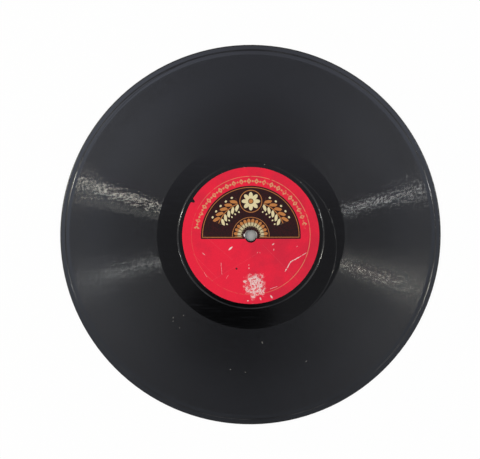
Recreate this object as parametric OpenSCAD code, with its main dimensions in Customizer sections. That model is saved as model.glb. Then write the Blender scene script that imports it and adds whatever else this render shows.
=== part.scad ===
// A ten-inch shellac record of laminated build, lying flat on its second side.
// The spindle axis is Z, z = 0 is the plane that it rests on, and side A faces up.

/* [Disc] */
// Outer diameter
disc_d = 250; // [240:0.5:305]
// Thickness between the two playing surfaces
disc_t = 2.2; // [1.9:0.05:3]
// Radius of the round along both edges of the rim
rim_round = 0.7; // [0.6:0.05:0.85]
// Diameter of the spindle hole
hole_d = 7.25; // [6.8:0.05:8]

/* [Layers] */
// Thickness of each fine facing
facing_t = 0.4; // [0.32:0.01:0.5]
// Thickness of each paper sheet between core and facing
paper_t = 0.12; // [0.06:0.01:0.2]
// Width of the core's solid band outside the paper
paper_inset = 2.5; // [1.5:0.1:8]
// Clearance round the edge of the paper
paper_gap = 0.05; // [0.02:0.01:0.2]

/* [Label] */
// Diameter of the paper label
label_d = 90.2; // [60:0.1:92]
// Thickness of the label
label_t = 0.1; // [0.06:0.01:0.15]
// Depth of the label's face below the playing surface
label_sink = 0.02; // [0.01:0.01:0.04]
// Clearance round the edge of the label
label_gap = 0.05; // [0.02:0.01:0.2]
// Clearance between the label's own hole and the spindle hole
label_hole_gap = 0.15; // [0.05:0.05:0.5]

/* [Recorded band] */
// Distance from one turn of the groove to the next
groove_pitch = 0.28; // [0.26:0.01:0.4]
// Width of the groove at the surface
groove_w = 0.15; // [0.12:0.01:0.2]
// Depth of the groove
groove_depth = 0.064; // [0.05:0.002:0.08]
// Distance from the rim to the first recorded turn
margin_w = 6; // [5.5:0.1:10]
// Diameter of the last recorded turn
last_turn_d = 123.6; // [116:0.1:200]

/* [Start and finish] */
// Distance from the rim to the middle of the start groove
start_inset = 3.4; // [2.5:0.1:4]
// Distance from the label's edge to the middle of the locked groove that ends the side
lock_gap = 2.9; // [1.6:0.1:7]
// Width of the start groove and the locked groove
ring_w = 0.9; // [0.6:0.05:1.1]
// Depth of the start groove and the locked groove
ring_depth = 0.12; // [0.1:0.01:0.16]
// Width of the grooves that lead in and run out
lead_w = 0.3; // [0.26:0.01:0.4]
// Depth of the grooves that lead in and run out
lead_depth = 0.06; // [0.05:0.005:0.08]
// Direction in which the groove that leads in leaves the start groove
lead_in_angle = 100; // [-180:1:180]
// Direction in which the groove that runs out leaves the last recorded turn
run_out_angle = -56; // [-180:1:180]

/* [Hidden] */
$fn = 256;
disc_r = disc_d / 2;
hole_r = hole_d / 2;
label_r = label_d / 2;
paper_r = disc_r - paper_inset;
seat_z = label_t + label_sink;
last_r = last_turn_d / 2;
turns = floor((disc_r - margin_w - last_r) / groove_pitch);
first_r = last_r + turns * groove_pitch;
start_r = disc_r - start_inset;
lock_d = label_d + 2 * lock_gap;
lock_r = lock_d / 2;
// Height above the surface to which a groove's flanks are carried before they are cut away.
rise = 0.03;
rim_steps = 5;
ring_steps = 8;
// How far round its own circle a lead groove begins and ends.
lead_in_span = [60, 120];
run_out_span = [22, 150];

function arc(cx, cy, r, from, to, steps) = [
    for (i = [0 : steps])
        let (a = from + (to - from) * i / steps)
            [cx + r * cos(a), cy + r * sin(a)]
];

// Angle on the rim's round at which the facing ends and the core begins.
rim_join = asin((rim_round - facing_t) / rim_round);
rim_cx = disc_r - rim_round;
rim_top = arc(rim_cx, disc_t - rim_round, rim_round, rim_join, 90, rim_steps);
core_bottom = arc(rim_cx, rim_round, rim_round, -rim_join, 0, rim_steps);
core_top = arc(rim_cx, disc_t - rim_round, rim_round, 0, rim_join, rim_steps);

// A shallow round-bottomed groove in the upper surface, from its outer edge to its inner edge.
ring_r = (ring_w * ring_w / 4 + ring_depth * ring_depth) / (2 * ring_depth);
ring_half = asin(ring_w / 2 / ring_r);
function ring_dip(r) =
    arc(r, disc_t - ring_depth + ring_r, ring_r, ring_half - 90, -ring_half - 90, ring_steps);

// The recorded turns in section, from the first to the last.
recorded_band = [
    for (i = [0 : turns])
        let (r = first_r - i * groove_pitch)
            each [[r + groove_w / 2, disc_t], [r, disc_t - groove_depth], [r - groove_w / 2, disc_t]]
];

module turn_over() {
    translate([0, 0, disc_t])
        rotate([180, 0, 0])
            children();
}

module core() {
    color("#2b2622")
        rotate_extrude()
            polygon(concat(
                [[hole_r, facing_t + paper_t], [paper_r, facing_t + paper_t], [paper_r, facing_t]],
                core_bottom,
                core_top,
                [[paper_r, disc_t - facing_t], [paper_r, disc_t - facing_t - paper_t]],
                [[hole_r, disc_t - facing_t - paper_t]]
            ));
}

module core_paper() {
    color("#8a7555")
        translate([0, 0, disc_t - facing_t - paper_t])
            difference() {
                cylinder(r = paper_r - paper_gap, h = paper_t);
                translate([0, 0, -1])
                    cylinder(r = hole_r, h = paper_t + 2);
            }
}

module core_paper_a() {
    core_paper();
}

module core_paper_b() {
    turn_over()
        core_paper();
}

// A groove that closes in on the spindle along part of a circle set off to one side.
module lead_groove(from_r, to_r, angle, span) {
    off = (from_r - to_r) / (cos(span[0]) - cos(span[1]));
    lead_r = norm([from_r - off * cos(span[0]), off * sin(span[0])]);
    ends = [for (a = span) a + asin(off * sin(a) / lead_r)];
    flank = lead_w / 2 * (lead_depth + rise) / lead_depth;
    rotate([0, 0, angle - span[0]])
        translate([off, 0, 0])
            rotate_extrude(angle = ends[1] - ends[0], start = ends[0])
                polygon([
                    [lead_r - flank, disc_t + rise],
                    [lead_r, disc_t - lead_depth],
                    [lead_r + flank, disc_t + rise]
                ]);
}

module facing() {
    color("#17171a")
        difference() {
            rotate_extrude()
                polygon(concat(
                    [[hole_r, disc_t - facing_t]],
                    rim_top,
                    ring_dip(start_r),
                    recorded_band,
                    ring_dip(lock_r),
                    [[label_r + label_gap, disc_t], [label_r + label_gap, disc_t - seat_z]],
                    [[hole_r, disc_t - seat_z]]
                ));
            lead_groove(start_r, first_r, lead_in_angle, lead_in_span);
            lead_groove(last_r, lock_r, run_out_angle, run_out_span);
        }
}

module facing_a() {
    facing();
}

module facing_b() {
    turn_over()
        facing();
}

module label() {
    color("#c4213c")
        translate([0, 0, disc_t - seat_z])
            difference() {
                cylinder(r = label_r, h = label_t);
                translate([0, 0, -1])
                    cylinder(r = hole_r + label_hole_gap, h = label_t + 2);
            }
}

module label_a() {
    label();
}

module label_b() {
    turn_over()
        label();
}

core();
core_paper_a();
core_paper_b();
facing_a();
facing_b();
label_a();
label_b();
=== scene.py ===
import math
import random

import bmesh
import bpy
from mathutils import Matrix, Vector


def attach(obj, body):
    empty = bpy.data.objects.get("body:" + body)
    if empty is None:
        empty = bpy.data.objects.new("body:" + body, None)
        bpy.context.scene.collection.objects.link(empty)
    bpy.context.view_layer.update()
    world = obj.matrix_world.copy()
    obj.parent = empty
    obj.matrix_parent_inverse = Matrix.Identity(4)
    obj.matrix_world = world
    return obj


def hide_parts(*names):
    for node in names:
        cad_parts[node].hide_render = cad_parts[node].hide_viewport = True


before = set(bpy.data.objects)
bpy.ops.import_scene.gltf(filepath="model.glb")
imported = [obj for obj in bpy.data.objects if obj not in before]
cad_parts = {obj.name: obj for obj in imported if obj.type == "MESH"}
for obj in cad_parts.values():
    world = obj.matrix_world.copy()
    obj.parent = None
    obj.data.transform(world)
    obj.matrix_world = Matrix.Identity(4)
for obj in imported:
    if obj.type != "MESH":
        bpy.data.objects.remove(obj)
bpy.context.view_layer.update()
mm = 0.001
print("frame loaded:", sorted(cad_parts))


# node sockets in plain expressions, for shaders and geometry alike
class Val:
    def __init__(self, net, socket):
        self.net = net
        self.socket = socket

    def math(self, operation, *others):
        values = {0: self}
        values.update({place + 1: other for place, other in enumerate(others)})
        return self.net.node("ShaderNodeMath", {"operation": operation}, values)

    def __add__(self, other):
        return self.math("ADD", other)

    def __sub__(self, other):
        return self.math("SUBTRACT", other)

    def __rsub__(self, other):
        return self.net.node("ShaderNodeMath", {"operation": "SUBTRACT"}, {0: other, 1: self})

    def __mul__(self, other):
        return self.math("MULTIPLY", other)

    def __truediv__(self, other):
        return self.math("DIVIDE", other)

    def __pow__(self, other):
        return self.math("POWER", other)

    def __mod__(self, other):
        return self.math("FLOORED_MODULO", other)

    def __abs__(self):
        return self.math("ABSOLUTE")

    __radd__ = __add__
    __rmul__ = __mul__


class Net:
    def __init__(self, tree):
        self.tree = tree

    def node(self, kind, settings=None, values=None, out=0):
        made = self.tree.nodes.new(kind)
        for name, setting in (settings or {}).items():
            if name == "stops":
                self.setStops(made.color_ramp, setting)
            else:
                setattr(made, name, setting)
        for place, value in (values or {}).items():
            if isinstance(value, Val):
                self.tree.links.new(value.socket, made.inputs[place])
            else:
                made.inputs[place].default_value = value
        return Val(self, made.outputs[out])

    def setStops(self, ramp, stops):
        while len(ramp.elements) < len(stops):
            ramp.elements.new(1.0)
        for element, (place, colour) in zip(ramp.elements, stops):
            element.position = place
            element.color = colour

    def step(self, value, low, high):  # 0 below low, 1 above high, smooth between
        return self.node("ShaderNodeMapRange", {"interpolation_type": "SMOOTHSTEP"},
                         {0: value, 1: low, 2: high})

    def band(self, value, low, high, soft):
        above = self.step(value, low - soft, low + soft)
        return above * self.step(value, high + soft, high - soft)

    def either(self, first, *others):  # the strongest of several masks
        for other in others:
            first = first.math("MAXIMUM", other)
        return first

    def blend(self, factor, first, second):
        values = {0: factor, 6: first, 7: second}
        return self.node("ShaderNodeMix", {"data_type": "RGBA"}, values, 2)

    def noise(self, vector, scale, detail=2.0, rough=0.5):
        values = {"Vector": vector, "Scale": scale, "Detail": detail, "Roughness": rough}
        return self.node("ShaderNodeTexNoise", {"noise_dimensions": "3D"}, values)

    def lineNoise(self, value, scale, detail=2.0, rough=0.5):
        values = {"W": value, "Scale": scale, "Detail": detail, "Roughness": rough}
        return self.node("ShaderNodeTexNoise", {"noise_dimensions": "1D"}, values)

    def vector(self, x, y, z=0.0):
        return self.node("ShaderNodeCombineXYZ", None, {0: x, 1: y, 2: z})


class Finish(Net):  # a material, with millimetre coordinates on the piece
    def __init__(self, name, turnedOver=False):
        self.material = bpy.data.materials.new(name)
        self.material.use_nodes = True
        super().__init__(self.material.node_tree)
        self.tree.nodes.clear()
        coords = self.node("ShaderNodeTexCoord", None, None, "Object")
        scale = (1000.0, -1000.0 if turnedOver else 1000.0, 1000.0)
        self.coords = coords
        self.place = self.node("ShaderNodeMapping", None, {"Vector": coords, "Scale": scale})
        split = self.tree.nodes.new("ShaderNodeSeparateXYZ")
        self.tree.links.new(self.place.socket, split.inputs[0])
        self.x, self.y, self.z = (Val(self, socket) for socket in split.outputs)
        self.radius = self.distance(0.0, 0.0)
        self.angle = self.y.math("ARCTAN2", self.x) * (180.0 / math.pi)

    def distance(self, x, y):
        across = self.x - x
        up = self.y - y
        return (across * across + up * up).math("SQRT")

    def along(self, x, y, direction):  # coordinates turned to lie along a direction in degrees
        c, s = math.cos(math.radians(direction)), math.sin(math.radians(direction))
        across = self.x - x
        up = self.y - y
        return across * c + up * s, up * c - across * s

    def spot(self, x, y, length, width, direction, soft=0.25):
        u, v = self.along(x, y, direction)
        u, v = u / (length / 2), v / (width / 2)
        return self.step((u * u + v * v).math("SQRT"), 1.0 + soft, 1.0 - soft)

    def stroke(self, start, end, width):  # a wavering, broken scratch from one point to another
        (x0, y0), (x1, y1) = start, end
        length = math.hypot(x1 - x0, y1 - y0)
        u, v = self.along(x0, y0, math.degrees(math.atan2(y1 - y0, x1 - x0)))
        waver = self.lineNoise(u + x0 * 3.7, 0.8, 2.0)
        v = v + (waver - 0.5) * width
        beyond = (u - length / 2).math("ABSOLUTE") - length / 2
        gap = beyond.math("MAXIMUM", 0.0)
        reach = (gap * gap + v * v).math("SQRT")
        broken = self.step(self.lineNoise(u + y0 * 5.3, 0.9, 2.0), 0.28, 0.55)
        return self.step(reach, width * 0.8, width * 0.2) * (broken * 0.75 + 0.25)

    def principled(self, values, bump=None):
        shader = self.tree.nodes.new("ShaderNodeBsdfPrincipled")
        for name, value in values.items():
            if isinstance(value, Val):
                self.tree.links.new(value.socket, shader.inputs[name])
            else:
                shader.inputs[name].default_value = value
        if bump is not None:
            height, strength, distance = bump
            normal = self.node("ShaderNodeBump", None,
                               {"Height": height, "Strength": strength, "Distance": distance})
            self.tree.links.new(normal.socket, shader.inputs["Normal"])
        self.surface(Val(self, shader.outputs[0]))
        return self.material

    def surface(self, shader):
        out = self.tree.nodes.new("ShaderNodeOutputMaterial")
        self.tree.links.new(shader.socket, out.inputs["Surface"])


def addPiece(name, mesh, material, node):
    mesh.materials.clear()
    mesh.materials.append(material)
    piece = bpy.data.objects.new(name, mesh)
    bpy.context.scene.collection.objects.link(piece)
    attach(piece, "root")
    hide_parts(node)
    return piece


# the disc, in millimetres
disc = {
    "radius": 125.0,
    "top": 2.2,
    "facing": 0.4,
    "rimRound": 0.7,
    "rimSteps": 8,
    "hole": 3.625,
    "segments": 140,  # points round every circle
    "startRing": 121.6,
    "lockRing": 48.0,
    "ringWidth": 0.9,
    "ringDepth": 0.12,
    "ringSteps": 8,
    "seatRadius": 45.15,
    "seatDepth": 0.12,
    "easing": 0.08,  # narrow flat beside an edge, so that wide flats stay flat in the light
    "softDepths": (0.03, 0.09),  # edges at these depths are shaded smooth, as a groove's valley is
    "softAngle": 20.0,  # and so are edges bent less than this
    "weld": 1e-6,  # metres
}
groove = {
    "pitch": 0.28,
    "width": 0.15,
    "depth": 0.064,
    "startRadius": 118.995,
    "startAngle": 160.0,
    "turns": 204.4,
    "wave": 0.005,  # sideways wave of the recorded sound
    "waveRate": 46.0,
}
leads = {
    "width": 0.3,
    "depth": 0.06,
    "inSpan": (60.0, 120.0),
    "outSpan": (22.0, 150.0),
    "inTaper": 0.3,  # share of the way in which the groove narrows or widens
    "outTaper": 0.15,
}


def grooveTree():
    tree = bpy.data.node_groups.new("spiralGroove", "GeometryNodeTree")
    face = tree.interface
    kinds = {"Segments": "Int", "Material": "Material"}
    for name in ("Segments", "Turns", "Pitch", "Width", "Depth", "Start Radius", "Start Angle",
                 "Top", "Wave", "Wave Rate", "Material"):
        kind = "NodeSocket" + kinds.get(name, "Float")
        face.new_socket(name=name, in_out="INPUT", socket_type=kind)
    face.new_socket(name="Geometry", in_out="OUTPUT", socket_type="NodeSocketGeometry")
    net = Net(tree)
    start = tree.nodes.new("NodeGroupInput")
    size = {socket.name: Val(net, socket) for socket in start.outputs}
    rows = size["Segments"] * size["Turns"] + 1.0
    grid = net.node("GeometryNodeMeshGrid", None, {"Vertices X": rows, "Vertices Y": 4})
    index = net.node("GeometryNodeInputIndex")
    column = index.math("MODULO", 4.0)
    row = (index / 4.0).math("FLOOR")
    wholeTurns = (row / size["Segments"]).math("FLOOR")
    share = row.math("MODULO", size["Segments"]) / size["Segments"]
    turn = wholeTurns + share
    left = size["Turns"] - turn
    landTurn = (column - 2.0).math("MAXIMUM", 0.0)  # 1 on the far side of the land
    land = (size["Pitch"] - size["Width"]) * left.math("MINIMUM", 1.0)
    inward = column.math("MINIMUM", 2.0) * size["Width"] / 2.0 + landTurn * land
    waveTurn = turn + landTurn
    ends = (waveTurn - 1.0).math("MINIMUM", size["Turns"] - waveTurn).math("MINIMUM", 1.0)
    wave = (net.lineNoise(waveTurn, size["Wave Rate"], 2.0) - 0.5) * 2.0
    sideways = wave * size["Wave"] * ends.math("MAXIMUM", 0.0)
    radius = (size["Start Radius"] - size["Pitch"] * turn - inward + sideways) * mm
    dip = 1.0 - abs(column - 1.0).math("MINIMUM", 1.0)
    height = (size["Top"] - size["Depth"] * dip) * mm
    angle = (size["Start Angle"] / 360.0 + share) * (2.0 * math.pi)
    place = net.vector(radius * angle.math("COSINE"), radius * angle.math("SINE"), height)
    bent = net.node("GeometryNodeSetPosition", None, {"Geometry": grid, "Position": place})
    joined = net.node("GeometryNodeMergeByDistance", None,
                      {"Geometry": bent, "Distance": disc["weld"] * 2})
    smooth = net.node("GeometryNodeSetShadeSmooth", None, {"Geometry": joined})
    real = net.node("GeometryNodeRealizeInstances", None, {"Geometry": smooth})
    dressed = net.node("GeometryNodeSetMaterial", None,
                       {"Geometry": real, "Material": size["Material"]})
    end = tree.nodes.new("NodeGroupOutput")
    tree.links.new(dressed.socket, end.inputs[0])
    return tree


def meshFromTree(tree, name, values):
    holder = bpy.data.objects.new(name, bpy.data.meshes.new(name))
    bpy.context.scene.collection.objects.link(holder)
    modifier = holder.modifiers.new("nodes", "NODES")
    modifier.node_group = tree
    for item in tree.interface.items_tree:
        if item.in_out == "INPUT" and item.name in values:
            modifier[item.identifier] = values[item.name]
    shown = holder.evaluated_get(bpy.context.evaluated_depsgraph_get())
    mesh = bpy.data.meshes.new_from_object(shown)
    holder.modifiers.remove(modifier)
    bpy.data.objects.remove(holder)
    return mesh


def leadRadius(fromRadius, toRadius, span, share):  # part of a circle set off to one side
    first, last = (math.radians(a) for a in span)
    off = (fromRadius - toRadius) / (math.cos(first) - math.cos(last))
    circle = math.hypot(fromRadius - off * math.cos(first), off * math.sin(first))
    a = first + (last - first) * share
    return off * math.cos(a) + math.sqrt(circle ** 2 - (off * math.sin(a)) ** 2)


def leadRow(outer, inner, middle, half, depth, shares):
    # across a plain band with a narrow groove in it: outer edge, flat, groove, flat, inner edge
    shareOut, shareIn = shares
    easeOut = min(disc["easing"], (outer - inner) / 4) * shareOut
    easeIn = min(disc["easing"], (outer - inner) / 4) * shareIn
    high, low = outer - easeOut, inner + easeIn
    lipOut = min(high, max(low, middle + half))
    lipIn = max(low, min(high, middle - half))
    bottom = min(lipOut, max(lipIn, middle))
    roomOut = (high - middle) / half if shareOut else 1.0
    roomIn = (middle - low) / half if shareIn else 1.0
    top = disc["top"]
    dip = depth * min(1.0, max(0.0, min(roomOut, roomIn)))
    sideOut = min(disc["easing"], max(0.0, (high - lipOut) / 2))
    sideIn = min(disc["easing"], max(0.0, (lipIn - low) / 2))
    return [(outer, top), (high, top), (lipOut + sideOut, top), (lipOut, top), (bottom, top - dip),
            (lipIn, top), (lipIn - sideIn, top), (low, top), (inner, top)]


def leadInRows():
    rows = []
    segments = disc["segments"]
    outer = disc["startRing"] - disc["ringWidth"] / 2
    span = (leads["inSpan"][1] - leads["inSpan"][0]) / 360.0
    target = groove["startRadius"] - groove["width"] / 2
    for step in range(segments + 1):
        share = step / segments
        inner = groove["startRadius"] - groove["pitch"] * share
        along = max(0.0, (share - (1.0 - span)) / span)
        middle = leadRadius(disc["startRing"], target, leads["inSpan"], along)
        if share < 1.0 - span:
            middle = disc["startRing"]
        narrow = max(0.0, (along - 1.0) / leads["inTaper"] + 1.0)
        half = (leads["width"] + (groove["width"] - leads["width"]) * narrow) / 2
        depth = leads["depth"] + (groove["depth"] - leads["depth"]) * narrow
        shares = (1.0, 0.0 if step == segments else 1.0)
        rows.append(leadRow(outer, inner, middle, half, depth, shares))
    return rows


def runOutRows():
    rows = []
    segments = disc["segments"]
    inner = disc["lockRing"] + disc["ringWidth"] / 2
    span = (leads["outSpan"][1] - leads["outSpan"][0]) / 360.0
    lip = groove["startRadius"] - groove["pitch"] * groove["turns"]  # where the spiral ends
    for step in range(segments + 1):
        share = step / segments
        outer = lip - groove["width"] * share
        along = min(1.0, share / span)
        middle = leadRadius(lip - groove["width"] / 2, disc["lockRing"], leads["outSpan"], along)
        widen = min(1.0, along / leads["outTaper"])
        half = (groove["width"] + (leads["width"] - groove["width"]) * widen) / 2
        depth = groove["depth"] + (leads["depth"] - groove["depth"]) * widen
        shares = (0.0 if step == 0 else 1.0, 1.0)
        rows.append(leadRow(outer, inner, middle, half, depth, shares))
    return rows


def ringDip(middle):  # section of a shallow round-bottomed ring, from its outer edge inward
    half, depth, steps = disc["ringWidth"] / 2, disc["ringDepth"], disc["ringSteps"]
    bend = (half ** 2 + depth ** 2) / (2 * depth)
    reach = math.asin(half / bend)
    turns = [reach * (1 - 2 * i / steps) for i in range(steps + 1)]
    bottom = disc["top"] - depth
    return [(middle + bend * math.sin(a), bottom + bend * (1 - math.cos(a))) for a in turns]


def sweep(shape, rows, startAngle):  # joins rows of radius and height set round the spindle
    segments = disc["segments"]
    rings = []
    for step, row in enumerate(rows):
        angle = 2 * math.pi * (startAngle / 360.0 + (step % segments) / segments)
        across, up = math.cos(angle) * mm, math.sin(angle) * mm
        rings.append([shape.verts.new((r * across, r * up, z * mm)) for r, z in row])
    for here, there in zip(rings, rings[1:]):
        for i in range(len(here) - 1):
            shape.faces.new((here[i], there[i], there[i + 1], here[i + 1]))


def splitWalls(shape):  # cuts the groove's walls corner to corner, one way and then the other
    level = (disc["top"] - groove["depth"] / 2) * mm
    for facet in list(shape.faces):
        middle = facet.calc_center_median()
        order = sorted(facet.verts, key=lambda c: middle.x * c.co.y - middle.y * c.co.x)
        low = [corner for corner in order if corner.co.z < level]
        high = [corner for corner in order if corner.co.z >= level]
        if len(low) != 2 or len(high) != 2:
            continue
        angle = math.degrees(math.atan2(middle.y, middle.x))
        share = (angle - groove["startAngle"]) / 360.0 % 1.0
        inward = groove["startRadius"] - groove["width"] / 2 - math.hypot(middle.x, middle.y) / mm
        odd = (int(share * disc["segments"]) + round(inward / groove["pitch"] - share)) % 2
        bmesh.utils.face_split(facet, low[odd], high[1 - odd])


def closeSlits(shape):  # splits an open edge where another corner lies on it, and joins them
    openEdges = [edge for edge in shape.edges if len(edge.link_faces) == 1]
    corners = list(dict.fromkeys(corner for edge in openEdges for corner in edge.verts))
    for edge in openEdges:
        start, end = edge.verts
        along = end.co - start.co
        for corner in corners:
            share = (corner.co - start.co).dot(along) / along.length_squared
            if corner not in (start, end) and 0 < share < 1:
                if (start.co + along * share - corner.co).length < disc["weld"]:
                    bmesh.utils.edge_split(edge, start, share)[1].co = corner.co
                    break
    bmesh.ops.remove_doubles(shape, verts=shape.verts, dist=disc["weld"])


def rimSection():  # from the core up to the flat of the margin
    bend, top = disc["rimRound"], disc["top"]
    join = math.asin((bend - disc["facing"]) / bend)
    steps = disc["rimSteps"]
    turns = [join + (math.pi / 2 - join) * i / steps for i in range(steps + 1)]
    middle = disc["radius"] - bend
    return [(middle + bend * math.cos(a), top - bend * (1 - math.sin(a))) for a in turns]


def facingMesh(name, material):
    values = {"Segments": disc["segments"], "Turns": groove["turns"], "Pitch": groove["pitch"],
              "Width": groove["width"], "Depth": groove["depth"], "Top": disc["top"],
              "Start Radius": groove["startRadius"], "Start Angle": groove["startAngle"],
              "Wave": groove["wave"], "Wave Rate": groove["waveRate"], "Material": material}
    mesh = meshFromTree(grooveTree(), name, values)
    shape = bmesh.new()
    shape.from_mesh(mesh)
    splitWalls(shape)
    top, ease = disc["top"], disc["easing"]
    under, seat = top - disc["facing"], top - disc["seatDepth"]
    hole, seatRadius = disc["hole"], disc["seatRadius"]
    start, lock = ringDip(disc["startRing"]), ringDip(disc["lockRing"])
    rimFlat = [(disc["radius"] - disc["rimRound"] - ease, top), (start[0][0] + ease, top)]
    margin = [(hole, under)] + rimSection() + rimFlat + start
    lockFlat = [(lock[-1][0] - ease, top), (seatRadius + ease, top), (seatRadius, top)]
    centre = lock + lockFlat + [(seatRadius, seat), (hole, seat), (hole, under)]
    rowCount = disc["segments"] + 1
    endAngle = groove["startAngle"] + 360.0 * (groove["turns"] % 1.0)
    sweep(shape, [margin] * rowCount, groove["startAngle"])
    sweep(shape, leadInRows(), groove["startAngle"])
    sweep(shape, runOutRows(), endAngle)
    sweep(shape, [centre] * rowCount, endAngle)
    bmesh.ops.remove_doubles(shape, verts=shape.verts, dist=disc["weld"])
    bmesh.ops.dissolve_degenerate(shape, edges=shape.edges, dist=disc["weld"] / 10)
    closeSlits(shape)
    for facet in shape.faces:
        facet.smooth = True
    shallow, deep = disc["softDepths"]
    for edge in shape.edges:  # crisp lips, soft valleys
        depth = top - max(corner.co.z for corner in edge.verts) / mm
        bent = edge.calc_face_angle(0.0)
        edge.smooth = shallow < depth < deep or bent < math.radians(disc["softAngle"])
    openEdges = sum(1 for edge in shape.edges if len(edge.link_faces) != 2)
    shape.to_mesh(mesh)
    shape.free()
    triangles = sum(len(p.vertices) - 2 for p in mesh.polygons)
    print(name, "triangles", triangles, "open edges", openEdges)
    return mesh


def turnOver(mesh, name):  # side B is side A turned over about X
    copy = mesh.copy()
    copy.name = name
    lift = Matrix.Translation((0, 0, disc["top"] * mm))
    copy.transform(lift @ Matrix.Rotation(math.pi, 4, "X"))
    return copy


# pressed black shellac: lengths in millimetres, the rest colours, shares and roughness
shellac = {
    "black": (0.0012, 0.0012, 0.0013, 1.0),
    "dustAndSheen": (0.0115, 0.0115, 0.0130, 1.0),  # grey of dust and painted sheen of the grooves, most of it towards the rim
    "dustAndSheenAmount": 0.62,
    "sheenSide": (170.0, 0.08),  # direction of the painted sheen, towards the left lamps, and how much lighter the grey is there
    # painted shade: the grey is thinned towards the bottom (direction, share) and at the top
    "shadedSide": (250.0, 0.30),
    "shadedTop": 0.14,
    "wipedMargin": 0.55,
    "siltAndSheen": (0.022, 0.022, 0.023, 1.0),  # dust lying in the plain grooves, and painted sheen of their walls
    "speck": (0.16, 0.155, 0.14, 1.0),
    "cloudScale": 0.045,
    "brushTurn": 0.7,  # radians, the way the scuffs run
    "brushStretch": (0.05, 1.6, 1.0),
    "polish": 0.045,  # roughness of the plain surface
    "scuffed": 0.03,  # what wear adds to it
    "silted": 0.10,
    "runOut": (-0.065, 0.14),  # change in the run-out groove, and on its wall that faces the rim
    "rimWear": 0.12,
    "played": 0.100,  # roughness of the recorded groove
    "rimwardGloss": 0.020,  # taken off on the walls that face the rim
    "loudGloss": 0.028,
    "leftGloss": 0.015,
    "outerDull": 0.055,
    "inwardDull": 0.034,  # added on the walls that face the label
    "inwardOuterDull": 0.05,
    "loudBand": (80.0, 97.0),  # radii
    "outerZone": (98.0, 117.0),
    "inwardOuterZone": (90.0, 112.0),
    "leftZone": (20.0, -20.0),
    "sparks": 0.08,  # swing of the roughness from spark to spark
    "glints": 0.06,
    "passages": 0.03,
    "sparkScale": 0.50,
    "glintRays": 20.0,
    "glintScale": 0.42,
    "turnScale": 0.55,
    "passageScale": 0.13,
    "unevenScale": 0.45,
    "streakSides": (0.19, 0.36),  # sines of the directions where light lies along the grooves
    "streakBump": 0.12,
    "leftBump": 0.06,
    "wallBump": 0.03,
    "plainBump": 0.003,
    "bumpHeight": 0.0002,  # metres
}
specksA = [  # x, y, length, width, direction
    (-51.0, -54.0, 1.1, 0.6, 80), (-51.1, -56.3, 0.8, 0.5, 20), (-44.3, -52.6, 0.9, 0.6, 60),
    (-46.8, -60.7, 0.7, 0.4, 60), (7.6, -70.6, 1.5, 0.8, 110),
    (-13.4, -88.4, 1.0, 0.6, 10), (-3.6, -90.3, 0.9, 0.5, 150), (36.6, -83.1, 1.4, 0.5, 40),
    (9.0, 46.7, 0.9, 0.5, 0), (32.8, 35.0, 0.7, 0.5, 120), (51.5, 16.9, 0.8, 0.5, 110),
]
specksB = [(30.0, 62.0, 1.2, 0.6, 30), (-66.0, 22.0, 1.0, 0.7, 120), (-20.0, -80.0, 1.4, 0.5, 70)]


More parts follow.
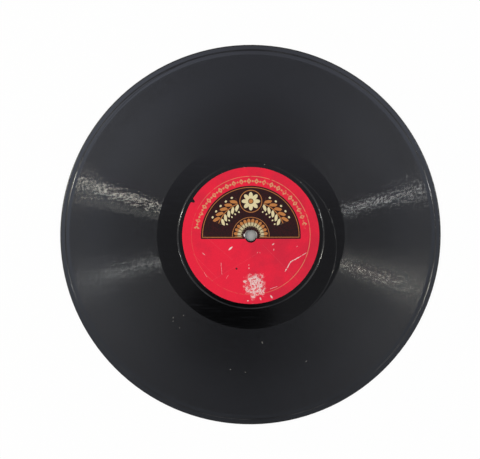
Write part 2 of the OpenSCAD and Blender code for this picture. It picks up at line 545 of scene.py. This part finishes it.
def shellacFinish(name, specks, turnedOver):
    f = Finish(name, turnedOver)
    rim, outer = disc["radius"], groove["startRadius"]
    inner = outer - groove["pitch"] * groove["turns"]
    played = f.band(f.radius, inner, outer, 0.15)
    middle = disc["top"] / 2
    dip = middle - abs(f.z - middle)  # depth below the surface, on either side
    clearOfLabel = f.step(f.radius, disc["seatRadius"] + 0.85, disc["seatRadius"] + 1.35)
    dented = f.step(dip, 0.001, 0.006) * (1 - played) * clearOfLabel
    loud = f.lineNoise(f.radius, shellac["turnScale"], 3.0, 0.65)  # louder and quieter turns
    passage = f.lineNoise(f.radius, shellac["passageScale"], 2.0, 0.6)
    cloud = f.noise(f.place, shellac["cloudScale"], 3.0, 0.55)

    # dust gathers outward, less on the margin where the disc has been wiped; the same grey also
    # paints the grooves' sheen: lighter on the left, darker towards the bottom and at the top, and
    # in bands of louder and quieter turns
    outward = f.node("ShaderNodeMapRange", None, {0: f.radius, 1: inner - 4.0, 2: rim})
    onMargin = f.step(f.radius, outer + 0.2, outer + 0.6)
    outward = outward * (1 - onMargin * shellac["wipedMargin"])
    # painted sheen: more grey towards the left
    direction, more = shellac["sheenSide"]
    dustAndSheenAmount = shellac["dustAndSheenAmount"] + f.along(0.0, 0.0, direction)[0] / rim * more + (cloud - 0.5) * 0.3
    # painted shade: less grey towards the bottom and at the top
    direction, less = shellac["shadedSide"]
    paintedShade = f.step(f.along(0.0, 0.0, direction)[0] / f.radius, 0.70, 0.97) * less
    paintedShade = paintedShade + f.step(f.y / f.radius, 0.8, 1.0) * shellac["shadedTop"]
    dustAndSheenShare = outward * (dustAndSheenAmount - paintedShade) + played * (loud - 0.5) * 0.06
    colour = f.blend(dustAndSheenShare, shellac["black"], shellac["dustAndSheen"])
    # dust in the plain grooves, partly painted sheen where their walls catch the light
    colour = f.blend(dented * f.step(cloud, 0.35, 0.75), colour, shellac["siltAndSheen"])
    marks = f.either(*[f.spot(*speck) for speck in specks])
    colour = f.blend(marks * 0.8, colour, shellac["speck"])

    # plain surface: polished, scuffed, dull in its grooves and along the rim
    normal = f.node("ShaderNodeNewGeometry", None, None, "Normal")
    facing = f.node("ShaderNodeVectorMath", {"operation": "DOT_PRODUCT"},
                    {0: normal, 1: f.coords}, "Value")
    towardsRim = f.step(facing, -0.01, 0.01)  # 1 on the walls that face the rim
    brushed = f.node("ShaderNodeMapping", None,
                     {"Vector": f.place, "Rotation": (0, 0, shellac["brushTurn"]),
                      "Scale": shellac["brushStretch"]})
    scuff = f.step(f.noise(brushed, 1.0, 2.0), 0.52, 0.75)
    runOut = f.band(f.radius, disc["lockRing"] + 1.0, inner, 0.3)
    change, changeRimward = shellac["runOut"]
    silted = shellac["silted"] + runOut * (towardsRim * changeRimward + change)
    plain = shellac["polish"] + scuff * shellac["scuffed"] + dented * silted
    plain = plain + f.step(f.radius, rim - 1.0, rim - 0.5) * shellac["rimWear"]

    # recorded groove: walls that face the rim shine more, with sparks where light lies along them
    sides = f.band(abs(f.y) / f.radius, *shellac["streakSides"], 0.07)
    left = f.step(f.x, *shellac["leftZone"])
    gloss = f.band(f.radius, *shellac["loudBand"], 7.0) * shellac["loudGloss"]
    gloss = gloss + shellac["rimwardGloss"] + left * shellac["leftGloss"]
    gloss = gloss - f.step(f.radius, *shellac["outerZone"]) * shellac["outerDull"]
    dull = f.step(f.radius, *shellac["inwardOuterZone"]) * shellac["inwardOuterDull"]
    dull = dull + shellac["inwardDull"]
    grooved = shellac["played"] - towardsRim * gloss + (1 - towardsRim) * dull
    sparkle = f.noise(f.vector(f.x, f.y, f.z + 40.0), shellac["sparkScale"], 0.0)
    sparkle = f.step(sparkle, 0.42, 0.60)
    rays = shellac["glintRays"]
    fan = f.vector(f.x / f.radius * rays, f.y / f.radius * rays, f.radius * shellac["glintScale"])
    glint = f.noise(fan, 1.0, 2.0, 0.6)
    grooved = grooved + (0.5 - sparkle) * (sides * shellac["sparks"] + 0.01)
    grooved = grooved + (0.5 - glint) * shellac["glints"] + (loud - passage) * shellac["passages"]
    grooved = grooved.math("MAXIMUM", shellac["polish"])
    rough = plain + (grooved - plain) * played
    walls = played * f.step(dip, 0.002, 0.006)
    streaks = sides * (shellac["streakBump"] + left * shellac["leftBump"])
    strength = walls * (streaks + shellac["wallBump"]) + (1 - played) * shellac["plainBump"]
    uneven = f.noise(f.place, shellac["unevenScale"], 0.0)
    return f.principled({"Base Color": colour, "Roughness": rough, "IOR": 1.5},
                        (uneven, strength, shellac["bumpHeight"]))


# coarse compound of the core
compound = {
    "dark": (0.006, 0.005, 0.0045, 1.0),
    "light": (0.020, 0.016, 0.013, 1.0),
    "fleck": (0.075, 0.066, 0.055, 1.0),
    "grainScale": 2.2,
    "fleckScale": 3.4,
}


def compoundFinish(name):
    f = Finish(name)
    grain = f.noise(f.place, compound["grainScale"], 3.0, 0.6)
    fleck = f.step(f.noise(f.place, compound["fleckScale"], 1.0), 0.62, 0.72)
    colour = f.blend(grain, compound["dark"], compound["light"])
    colour = f.blend(fleck * 0.5, colour, compound["fleck"])
    return f.principled({"Base Color": colour, "Roughness": 0.45 + grain * 0.25},
                        (grain, 0.2, 0.0001))


# brown paper on both sides of the core
kraft = {
    "dark": (0.17, 0.115, 0.058, 1.0),
    "light": (0.31, 0.225, 0.125, 1.0),
    "fibreStretch": (0.6, 3.0, 3.0),
    "fibreScale": 1.4,
}


def kraftFinish(name):
    f = Finish(name)
    stretched = f.node("ShaderNodeMapping", None,
                       {"Vector": f.place, "Scale": kraft["fibreStretch"]})
    fibre = f.noise(stretched, kraft["fibreScale"], 3.0)
    colour = f.blend(fibre, kraft["dark"], kraft["light"])
    return f.principled({"Base Color": colour, "Roughness": 0.8 + fibre * 0.15},
                        (fibre, 0.25, 0.0001))


# the printed label, in millimetres and degrees
label = {
    "radius": 45.1,
    "hole": 3.775,
    "top": 2.18,
    "thickness": 0.1,
    "steps": 720,
    "rings": (0.0, 0.03, 0.12, 0.35, 0.65, 0.9, 0.985, 1.0),  # shares of the way from hole to edge
    "fray": 0.10,  # deepest fraying of the edge and of the hole
    "holeFray": 0.16,
    "frayWaves": 14,
    "red": (0.790, 0.0125, 0.0430, 1.0),
    "deepRed": (0.610, 0.0135, 0.0420, 1.0),
    "gold": (0.520, 0.205, 0.058, 1.0),
    "paleGold": (0.640, 0.330, 0.160, 1.0),
    "cream": (0.780, 0.680, 0.400, 1.0),
    "panel": (0.0095, 0.0035, 0.0045, 1.0),
    "paper": (0.800, 0.750, 0.720, 1.0),
    "grime": (0.30, 0.006, 0.02, 1.0),
    "stain": (0.02, 0.012, 0.012, 1.0),
    "fineScale": 1.6,  # grain of the paper, clouds of dirt, patches of wear
    "cloudScale": 0.07,
    "patchScale": 0.35,
    "rightShade": 0.12,  # painted shade: how much deeper the red is towards the right, as the stronger light falls from the left
    "ink": 0.92,  # how well a colour covers
    "hairWidth": 0.2,
    "ruleRadius": 39.0,
    "ruleWidth": 0.40,
    "ruleInk": (0.15, 0.70),  # where it is rubbed, and where it is whole
    "ornamentRadius": 35.9,
    "ornamentStep": 8.0,
    "ornamentReach": 82.5,  # degrees to each side of the top
    "ornamentInk": 0.85,
    "lozenge": (1.6, 1.9),
    "panelOuter": 32.8,
    "panelFoot": -2.2,
    "panelLine": (0.9, 1.3),  # distances in from the panel's edge
    "clearing": 5.7,  # radius kept free round the hole
    "fanInner": 6.4,
    "fanOuter": 11.2,
    "fanStep": 15.0,
    "fanLine": (0.7, 1.05),
    "sprigRadius": 22.6,
    "sprigStep": 9.4,
    "sprigStart": 22.0,
    "sprigLeaves": 5,
    "leafSize": (2.7, 1.0),
    "leafOffset": 2.3,
    "leafLean": 38.0,
    "berryOffset": 5.2,
    "rosettePetals": 8,
    "rosetteReach": (3.4, 6.0),
    "rosetteLine": (7.0, 7.45),
    "heart": 1.35,
}
wearA = {
    "strokes": [  # start, end, width, strength
        ((22.6, -23.6), (26.2, -17.3), 0.50, 0.9), ((26.2, -17.3), (31.6, -14.4), 0.52, 0.95),
        ((31.0, -14.7), (36.6, -11.4), 0.36, 0.65), ((-19.6, -18.0), (-19.0, -25.4), 0.30, 0.4),
        ((-30.6, -24.4), (-28.8, -27.2), 0.30, 0.35), ((-14.8, -26.0), (-16.2, -28.4), 0.28, 0.3),
        ((17.4, -33.6), (12.6, -35.2), 0.30, 0.5),
    ],
    "hairs": [
        ((-34.0, 3.0), (-12.0, -16.0)), ((8.0, -6.0), (31.0, -30.0)),
        ((-26.0, -30.0), (4.0, -12.0)), ((14.0, 33.0), (38.0, 12.0)),
        ((-38.0, -12.0), (-22.0, -28.0)),
    ],
    "flecks": [  # x, y, length, width, direction, strength
        (-13.3, -8.4, 2.9, 0.95, 42, 1.0), (14.7, -5.7, 1.7, 0.8, 40, 0.55),
        (15.1, -9.3, 1.3, 0.6, 80, 0.4), (-31.0, -12.0, 2.2, 0.5, 140, 0.45),
        (-1.9, -43.0, 1.0, 0.7, 10, 0.8), (13.6, -40.4, 2.2, 0.9, 125, 0.8),
        (6.4, -41.6, 1.9, 0.8, 110, 0.7), (-1.3, -19.4, 0.9, 0.5, 80, 0.4),
        (-1.2, -21.5, 1.0, 0.6, 80, 0.5), (4.4, -11.2, 1.1, 0.4, 60, 0.3),
        (6.0, -11.3, 0.9, 0.4, 95, 0.3), (30.4, -7.2, 1.2, 0.4, 30, 0.3),
    ],
    "rub": (2.6, -33.2, 17.0, 18.6),  # x, y, width, height
    "spot": (-9.4, -21.8, 1.3),  # x, y, size
    "torn": (-4.2, 0.2, 2.0, 1.0, 100),  # x, y, length, width, direction
}
wearB = {
    "strokes": [((-30.0, -8.0), (-18.0, -20.0), 0.5, 0.9)],
    "hairs": [((-30.0, 12.0), (-4.0, -22.0)), ((10.0, -34.0), (34.0, -10.0))],
    "flecks": [(22.0, -26.0, 2.0, 0.9, 30, 0.9), (-8.0, -39.0, 1.6, 0.7, 5, 0.7),
               (5.0, -2.0, 1.4, 0.8, 80, 0.6)],
    "rub": (-9.0, -30.0, 13.0, 11.0),
    "spot": (16.0, -19.0, 1.0),
    "torn": (2.4, 3.6, 1.6, 0.8, 140),
}
# on side A the tear widens the hole at the bottom to bare the black seat as a dark crescent, painted
# shade of the bore
edgeA = {"chip": (149.0, 3.2, 2.1), "tearAndShade": (270.0, 130.0, 0.8), "seed": 7}  # middle, width, depth
edgeB = {"chip": (-60.0, 2.6, 1.2), "tearAndShade": (95.0, 30.0, 0.6), "seed": 19}


def labelMesh(name, edge):
    draw = random.Random(edge["seed"])
    waves = [(draw.randint(9, 140), draw.uniform(0, 6.28), draw.uniform(0.2, 1.0))
             for _ in range(label["frayWaves"])]
    total = sum(w for _, _, w in waves)

    def fray(angle):
        return sum(w * (0.5 + 0.5 * math.sin(n * angle + p)) for n, p, w in waves) / total

    def notch(angle, middle, width, depth):
        off = (math.degrees(angle) - middle + 180) % 360 - 180
        return depth * max(0.0, 1 - abs(2 * off / width) ** 3)

    shape = bmesh.new()
    layers = []
    for z in (label["top"], label["top"] - label["thickness"]):
        rings = []
        for share in label["rings"]:
            ring = []
            for step in range(label["steps"]):
                a = 2 * math.pi * step / label["steps"]
                outer = label["radius"] - label["fray"] * fray(a) - notch(a, *edge["chip"])
                inner = label["hole"] + label["holeFray"] * fray(a * 2 + 1) + notch(a, *edge["tearAndShade"])
                r = (inner + (outer - inner) * share) * mm
                ring.append(shape.verts.new((r * math.cos(a), r * math.sin(a), z * mm)))
            rings.append(ring)
        layers.append(rings)
    count = label["steps"]
    for rings, facing in zip(layers, (1, -1)):
        for near, far in zip(rings, rings[1:]):
            for i in range(count):
                corners = (near[i], far[i], far[(i + 1) % count], near[(i + 1) % count])
                shape.faces.new(corners[::facing])
    for place, facing in ((0, -1), (-1, 1)):
        upper, lower = layers[0][place], layers[1][place]
        for i in range(count):
            corners = (lower[i], lower[(i + 1) % count], upper[(i + 1) % count], upper[i])
            shape.faces.new(corners[::facing])
    mesh = bpy.data.meshes.new(name)
    shape.to_mesh(mesh)
    shape.free()
    return mesh


def panelPrint(f):  # masks of the gold and the cream on the dark panel
    r, outer, foot = f.radius, label["panelOuter"], label["panelFoot"]
    near, far = label["panelLine"]
    line = f.either(f.band(r, outer - far, outer - near, 0.1),
                    f.band(f.y, foot + near, foot + far, 0.1))
    inset = f.step(r, outer - near + 0.1, outer - near - 0.1)
    inset = inset * f.step(f.y, foot + near - 0.1, foot + near + 0.1)
    border = line * inset * f.step(r, label["clearing"] - 0.1, label["clearing"] + 0.1)

    # fan of petals round the hole
    fan = f.step(f.y, foot + far + 0.1, foot + far + 0.4)
    half = label["fanStep"] / 2
    wedge = abs(f.angle % label["fanStep"] - half) / half
    long = (r - label["fanInner"]) / (label["fanOuter"] - label["fanInner"])
    petals = f.step(wedge, 0.85, 0.70) * f.band(long + wedge * wedge * 0.35, 0.05, 1.0, 0.04) * fan
    near, far = label["fanLine"]
    fanLine = f.band(r, label["fanOuter"] + near, label["fanOuter"] + far, 0.1) * fan
    tips, roots = petals * f.step(long, 0.35, 0.6), petals * f.step(long, 0.6, 0.35) * 0.8

    # leafy sprigs on both sides of a rosette
    step, first = label["sprigStep"], label["sprigStart"]
    fromTop = abs(f.angle - 90.0)
    sprigs = f.band(fromTop, first, first + label["sprigLeaves"] * step, 0.6)
    t = ((fromTop - first) % step - step / 2) * math.radians(label["sprigRadius"])
    rise = r - label["sprigRadius"]
    stem = sprigs * f.band(rise, -0.25, 0.25, 0.12)
    side = abs(rise) - label["leafOffset"]
    lean = math.radians(label["leafLean"])
    length, width = label["leafSize"]
    u = (t * math.cos(lean) + side * math.sin(lean)) / length
    v = (side * math.cos(lean) - t * math.sin(lean)) / width
    leaf = f.step((u * u + v * v).math("SQRT"), 1.12, 0.88) * sprigs
    above = f.step(rise, -0.1, 0.1)
    out = abs(rise) - label["berryOffset"]
    berry = f.step((t * t + out * out).math("SQRT"), 0.75, 0.5) * sprigs
    heart = f.distance(0.0, label["sprigRadius"])
    petalTurn = (f.y - label["sprigRadius"]).math("ARCTAN2", f.x) * (label["rosettePetals"] / 2)
    short, reach = label["rosetteReach"]
    petal = abs(petalTurn.math("COSINE")) * (reach - short) + short
    flower = f.step(heart - petal, 0.15, -0.15)
    flower = flower * f.step(heart, label["heart"] + 0.35, label["heart"] + 0.55)
    button = f.step(heart, label["heart"] + 0.1, label["heart"] - 0.1)
    roundLine = f.band(heart, *label["rosetteLine"], 0.1)
    gold = f.either(border, tips, fanLine, stem, leaf * above, button, roundLine)
    return gold, f.either(roots, leaf * (1 - above), berry, flower)


def ringPrint(f):  # lozenges and dots between the panel and the rule
    step, degree = label["ornamentStep"], math.radians(label["ornamentRadius"])
    s = (f.angle % step - step / 2) * degree
    d = ((f.angle + step / 2) % step - step / 2) * degree
    q = f.radius - label["ornamentRadius"]
    width, height = label["lozenge"]
    reach = abs(s) / width + abs(q) / height
    lozenge = f.step(reach, 1.08, 0.92) * f.step(reach, 0.24, 0.36)
    dot = f.step((d * d + q * q).math("SQRT"), 0.8, 0.55)
    return f.either(lozenge, dot) * f.band(abs(f.angle - 90.0), -1.0, label["ornamentReach"], 0.5)


def barePaper(f, wear, fine, patch):  # wear down to the white paper
    strokes = [f.stroke(*stroke) * strength for *stroke, strength in wear["strokes"]]
    flecks = [f.spot(*fleck, 0.5) * strength for *fleck, strength in wear["flecks"]]
    x, y, width, height = wear["rub"]
    u, v = (f.x - x) / (width / 2), (f.y - y) / (height / 2)
    ragged = (u * u + v * v).math("SQRT") + (f.noise(f.place, 0.17, 4.0, 0.65) - 0.5) * 2.2
    crackle = 1 - abs(f.noise(f.place, 0.36, 3.0, 0.65) - 0.5) * 9.0
    crackle = f.either(f.step(crackle, 0.1, 0.9), f.step(fine, 0.54, 0.70) * 0.8)
    rubbed = f.step(ragged, 1.0, 0.6) * (0.07 + crackle * 0.75)
    edge, hole = label["radius"], label["hole"]
    edgeWear = f.step(f.radius + (patch - 0.5) * 1.6, edge + 0.05, edge + 0.4)
    holeWear = f.step(f.radius + (patch - 0.5) * 1.4, hole + 0.35, hole)
    return f.either(*strokes, *flecks, rubbed, edgeWear, holeWear, f.spot(*wear["torn"]))


def labelFinish(name, wear, turnedOver):
    f = Finish(name, turnedOver)
    fine = f.noise(f.place, label["fineScale"], 3.0, 0.6)
    cloud = f.noise(f.place, label["cloudScale"], 3.0, 0.6)
    patch = f.noise(f.place, label["patchScale"], 3.0, 0.65)
    # clouds of dirt deepen the red at random, and painted shade deepens it towards the right
    cloudAndShade = cloud + f.x / label["radius"] * label["rightShade"]
    colour = f.blend(f.step(cloudAndShade, 0.35, 0.80), label["red"], label["deepRed"])
    outer, foot = label["panelOuter"], label["panelFoot"]
    panel = f.step(f.radius, outer + 0.15, outer - 0.15) * f.step(f.y, foot - 0.15, foot + 0.15)
    colour = f.blend(panel, colour, label["panel"])
    gold, cream = panelPrint(f)
    half = label["ruleWidth"] / 2
    rule = f.band(f.radius, label["ruleRadius"] - half, label["ruleRadius"] + half, 0.1)
    clear = f.step(f.x * 0.8 + f.y * 0.5, -30.0, 20.0)  # the rule is rubbed faint at the lower left
    faint, whole = label["ruleInk"]
    worn = f.step(patch + (cloud - 0.5) * 0.5, 0.30, 0.52)
    pale = f.either(ringPrint(f) * label["ornamentInk"], rule * (clear * (whole - faint) + faint))
    colour = f.blend(gold * label["ink"], colour, label["gold"])
    colour = f.blend(pale * worn, colour, label["paleGold"])
    colour = f.blend(cream * label["ink"], colour, label["cream"])
    bare = barePaper(f, wear, fine, patch)
    hair = f.either(*[f.stroke(start, end, label["hairWidth"]) for start, end in wear["hairs"]])
    colour = f.blend(f.step(fine, 0.35, 0.7) * 0.10, colour, label["grime"])
    colour = f.blend(bare * label["ink"], colour, label["paper"])
    colour = f.blend(hair * patch * 0.09, colour, label["paper"])
    x, y, size = wear["spot"]
    colour = f.blend(f.spot(x, y, size, size, 0), colour, label["stain"])
    rough = 0.5 + fine * 0.2 + bare * 0.2
    return f.principled({"Base Color": colour, "Roughness": rough, "IOR": 1.25},
                        (fine - bare * 0.8, 0.15, 0.00012))


shellacA = shellacFinish("shellacSideA", specksA, False)
shellacB = shellacFinish("shellacSideB", specksB, True)
faceA = facingMesh("grooved_face_a", shellacA)
faceB = turnOver(faceA, "grooved_face_b")
addPiece("grooved_face_a", faceA, shellacA, "facing_a")
addPiece("grooved_face_b", faceB, shellacB, "facing_b")
print("grooved faces made")

labelA = labelMesh("printed_label_a", edgeA)
labelB = turnOver(labelMesh("printed_label_b", edgeB), "printed_label_b")
addPiece("printed_label_a", labelA, labelFinish("labelSideA", wearA, False), "label_a")
addPiece("printed_label_b", labelB, labelFinish("labelSideB", wearB, True), "label_b")
print("labels made")

coreStuff, paperStuff = compoundFinish("coreCompound"), kraftFinish("kraftPaper")
dressing = {"core": coreStuff, "core_paper_a": paperStuff, "core_paper_b": paperStuff}
for nodeName, material in dressing.items():
    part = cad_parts[nodeName]
    part.data.materials.clear()
    part.data.materials.append(material)
print("core and papers dressed")

# floor, light and camera, in metres
studio = {
    "floorSize": 6.0,
    "floorWhite": 0.85,
    "glow": 0.95,  # share of the floor's white that the camera always sees
    "underRadius": 60.0,  # millimetres
    "underGrey": 0.37,  # the shaded floor that shows through the hole
    "skyOverhead": (0.57, 0.57, 0.68, 1.0),
    "skySide": (0.13, 0.13, 0.135, 1.0),
    "skyDim": (0.23, 0.23, 0.25, 1.0),
    "overheadZone": (0.995, 0.85),  # height in the sky, from overhead out to the side
    "dimZone": (-0.033, -0.078),  # lean towards the front
    "dimEnd": (-0.5, -0.9),
    "beltZone": (0.47, 0.86),  # heights in the sky
    # from the front and back to the sides
    "belt": [(0.0, 0.10), (0.30, 0.40), (0.60, 1.50), (0.72, 1.45), (0.88, 0.82), (1.0, 0.75)],
    "darkMiddle": (0.0205, -0.1065),  # dark place that the smooth band round the label mirrors
    "darkReach": (0.016, 0.014),
    "darkTone": (0.002, 0.002, 0.002, 1.0),
    "around": [  # share of a turn, brightness
        (0.0, 0.84), (0.083, 1.02), (0.167, 0.86), (0.25, 0.56), (0.333, 1.24), (0.417, 1.32),
        (0.5, 1.26), (0.583, 0.74), (0.667, 0.58), (0.75, 0.38), (0.833, 0.50), (0.917, 0.74),
        (1.0, 0.84),
    ],
    "aroundTint": (1.05, 1.18, 1.45),
    "aroundRise": (0.070, 0.122),  # radii on the disc where it comes in and goes out
    "aroundFall": (0.150, 0.230),
    "marginRing": (0.118, 0.127),  # what the smooth margin mirrors is dimmer
    "marginSoft": 0.0015,
    "marginDip": (0.48, 0.37),  # everywhere, and more towards the front and back
}
lamps = {
    "distance": 1.6,
    "zenith": 40.0,  # degrees from overhead
    "length": 1.28,
    "strips": [  # name, direction of its streak, power, width, colour
        ("leftLamp", 162.6, 9.7, 0.021, (1.0, 0.98, 0.86)),
        ("leftSideLamp", 168.0, 1.5, 0.048, (1.0, 0.98, 0.90)),
        ("rightLamp", 15.0, 5.8, 0.021, (0.98, 1.0, 0.98)),
    ],
}
view = {
    "place": (-0.05336, 0.14688, 1.897),
    "aim": (-0.0071, 0.00403, 0.0022),
    "frameWidth": 480.0,
    "scale": 0.0006563,  # metres for each pixel at the disc
}


def makeFloor():
    f = Finish("paleFloor")
    path = f.tree.nodes.new("ShaderNodeLightPath")
    rays = ("Is Camera Ray", "Is Glossy Ray", "Is Transmission Ray")
    seen = f.either(*[Val(f, path.outputs[ray]) for ray in rays])
    beyond = f.step(f.radius, studio["underRadius"] - 5, studio["underRadius"] + 5)
    white, grey = studio["floorWhite"], studio["underGrey"]
    tone = f.blend(beyond, (grey, grey, grey, 1.0), (white, white, white, 1.0))
    matt = f.node("ShaderNodeBsdfDiffuse", None, {"Color": tone})
    glow = f.node("ShaderNodeEmission", None, {"Color": (1.0, 1.0, 1.0, 1.0), "Strength": 1.0})
    share = seen * beyond * studio["glow"]
    f.surface(f.node("ShaderNodeMixShader", None, {0: share, 1: matt, 2: glow}))
    half = studio["floorSize"] / 2
    mesh = bpy.data.meshes.new("floor")
    corners = [(-half, -half, 0), (half, -half, 0), (half, half, 0), (-half, half, 0)]
    mesh.from_pydata(corners, [], [(0, 1, 2, 3)])
    mesh.materials.append(f.material)
    floor = bpy.data.objects.new("floor", mesh)
    bpy.context.scene.collection.objects.link(floor)


def makeSky():
    world = bpy.data.worlds.new("softStudio")
    world.use_nodes = True
    bpy.context.scene.world = world
    net = Net(world.node_tree)
    world.node_tree.nodes.clear()
    towards = net.node("ShaderNodeTexCoord", None, None, "Generated")
    split = world.node_tree.nodes.new("ShaderNodeSeparateXYZ")
    world.node_tree.links.new(towards.socket, split.inputs[0])
    x, y, z = (Val(net, socket) for socket in split.outputs)
    height = z.math("MAXIMUM", 0.05)
    across, up = x / height, y / height
    aside = net.step(z, *studio["overheadZone"])
    colour = net.blend(aside, studio["skyOverhead"], studio["skySide"])
    edge, end = studio["dimEnd"]
    dim = net.step(up, *studio["dimZone"]) * net.step(up, end, edge)
    colour = net.blend(dim, colour, studio["skyDim"])
    sideways = abs(abs(y.math("ARCTAN2", x)) * (2 / math.pi) - 1.0)  # 0 towards Y, 1 towards X
    stops = [(place, (level, level, level, 1.0)) for place, level in studio["belt"]]
    belt = net.node("ShaderNodeValToRGB", {"stops": stops}, {0: sideways})
    colour = net.blend(net.band(z, *studio["beltZone"], 0.05), colour, belt)
    # a ring round the place overhead, set by where the disc mirrors it
    onDiscX = across * view["place"][2] + view["place"][0]
    onDiscY = up * view["place"][2] + view["place"][1]
    turn = onDiscY.math("ARCTAN2", onDiscX) / (2 * math.pi) % 1.0
    red, green, blue = studio["aroundTint"]
    stops = [(place, (level * red, level * green, level * blue, 1.0))
             for place, level in studio["around"]]
    around = net.node("ShaderNodeValToRGB", {"stops": stops}, {0: turn})
    away = (onDiscX * onDiscX + onDiscY * onDiscY).math("SQRT")
    start, full = studio["aroundRise"]
    outward = net.node("ShaderNodeMapRange", None, {0: away, 1: start, 2: full})
    edge, end = studio["aroundFall"]
    everywhere, endwise = studio["marginDip"]
    dip = everywhere + (onDiscY / away) ** 2.0 * endwise
    margin = net.band(away, *studio["marginRing"], studio["marginSoft"])
    near = net.step(away, end, edge) * (1 - margin * dip)
    colour = net.node("ShaderNodeMix", {"data_type": "RGBA", "blend_type": "ADD"},
                      {0: outward * near, 6: colour, 7: around}, 2)
    overX = (across - studio["darkMiddle"][0]) / studio["darkReach"][0]
    overY = (up - studio["darkMiddle"][1]) / studio["darkReach"][1]
    reach = (overX * overX + overY * overY).math("SQRT")
    dark = net.step(reach, 1.1, 0.9) * net.step(z, 0.3, 0.5)
    colour = net.blend(dark, colour, studio["darkTone"])
    path = world.node_tree.nodes.new("ShaderNodeLightPath")
    seen = Val(net, path.outputs["Is Camera Ray"])
    sky = net.node("ShaderNodeBackground", None, {"Color": colour, "Strength": 1.0})
    white = net.node("ShaderNodeBackground", None,
                     {"Color": (1.0, 1.0, 1.0, 1.0), "Strength": 1.0})
    mixed = net.node("ShaderNodeMixShader", None, {0: seen, 1: sky, 2: white})
    out = world.node_tree.nodes.new("ShaderNodeOutputWorld")
    world.node_tree.links.new(mixed.socket, out.inputs["Surface"])


def makeLamps():  # narrow strips, each in the upright plane that puts its streak in one direction
    eye = Vector(view["place"]).normalized()
    zenith = math.radians(lamps["zenith"])
    for name, direction, power, width, colour in lamps["strips"]:
        a = math.radians(direction)
        outward = Vector((math.cos(a), math.sin(a), 0))
        sideways = Vector((-math.sin(a), math.cos(a), 0))
        away = outward * math.sin(zenith) + Vector((0, 0, math.cos(zenith)))
        data = bpy.data.lights.new(name, "AREA")
        data.shape = "RECTANGLE"
        data.size, data.size_y = width, lamps["length"]
        data.energy = power
        data.color = colour
        lamp = bpy.data.objects.new(name, data)
        bpy.context.scene.collection.objects.link(lamp)
        turned = Matrix((sideways, away.cross(sideways), away)).transposed()
        place = (away - sideways * eye.dot(sideways)) * lamps["distance"]
        lamp.matrix_world = Matrix.Translation(place) @ turned.to_4x4()


def makeCamera():
    place, aim = Vector(view["place"]), Vector(view["aim"])
    back = (place - aim).normalized()
    right = Vector((0, 1, 0)).cross(back).normalized()
    data = bpy.data.cameras.new("photoView")
    data.sensor_fit = "HORIZONTAL"
    halfWidth = view["frameWidth"] * view["scale"] / 2
    data.lens = data.sensor_width / 2 * (place - aim).length / halfWidth
    camera = bpy.data.objects.new("photoView", data)
    bpy.context.scene.collection.objects.link(camera)
    turned = Matrix((right, back.cross(right), back)).transposed()
    camera.matrix_world = Matrix.Translation(place) @ turned.to_4x4()
    bpy.context.scene.camera = camera


makeFloor()
makeSky()
makeLamps()
makeCamera()
bpy.context.scene.view_settings.view_transform = "Standard"
print("studio made")
